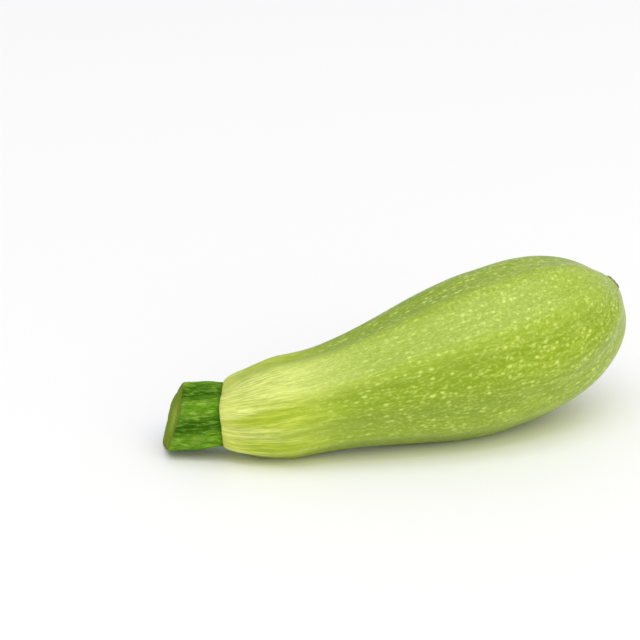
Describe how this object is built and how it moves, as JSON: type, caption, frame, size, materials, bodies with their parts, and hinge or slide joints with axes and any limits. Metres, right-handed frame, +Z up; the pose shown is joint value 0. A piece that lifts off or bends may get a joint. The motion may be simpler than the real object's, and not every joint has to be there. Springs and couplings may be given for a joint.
{
  "type": "zucchini",
  "caption": "Pale green zucchini lying on its side: a slim neck with a ridged, slant-cut stem, swelling to a full speckled belly with a round blossom end.",
  "frame": {"origin": "on the surface that the zucchini lies on, under the middle of its bounding box", "axes": "+Z up, +X from the stem towards the blossom end, +Y to the side"},
  "size_m": [0.1778, 0.0696, 0.0615],
  "materials": {
    "skin": "satin, waxy vegetable skin, pale yellow-green with cream flecks",
    "stem": "matte green fibrous stem with fine lengthwise wrinkles",
    "scar": "matte dry cork"
  },
  "bodies": {
    "root": {"fruit": "skin", "stem": "stem", "blossom_scar": "scar"}
  },
  "joints": []
}
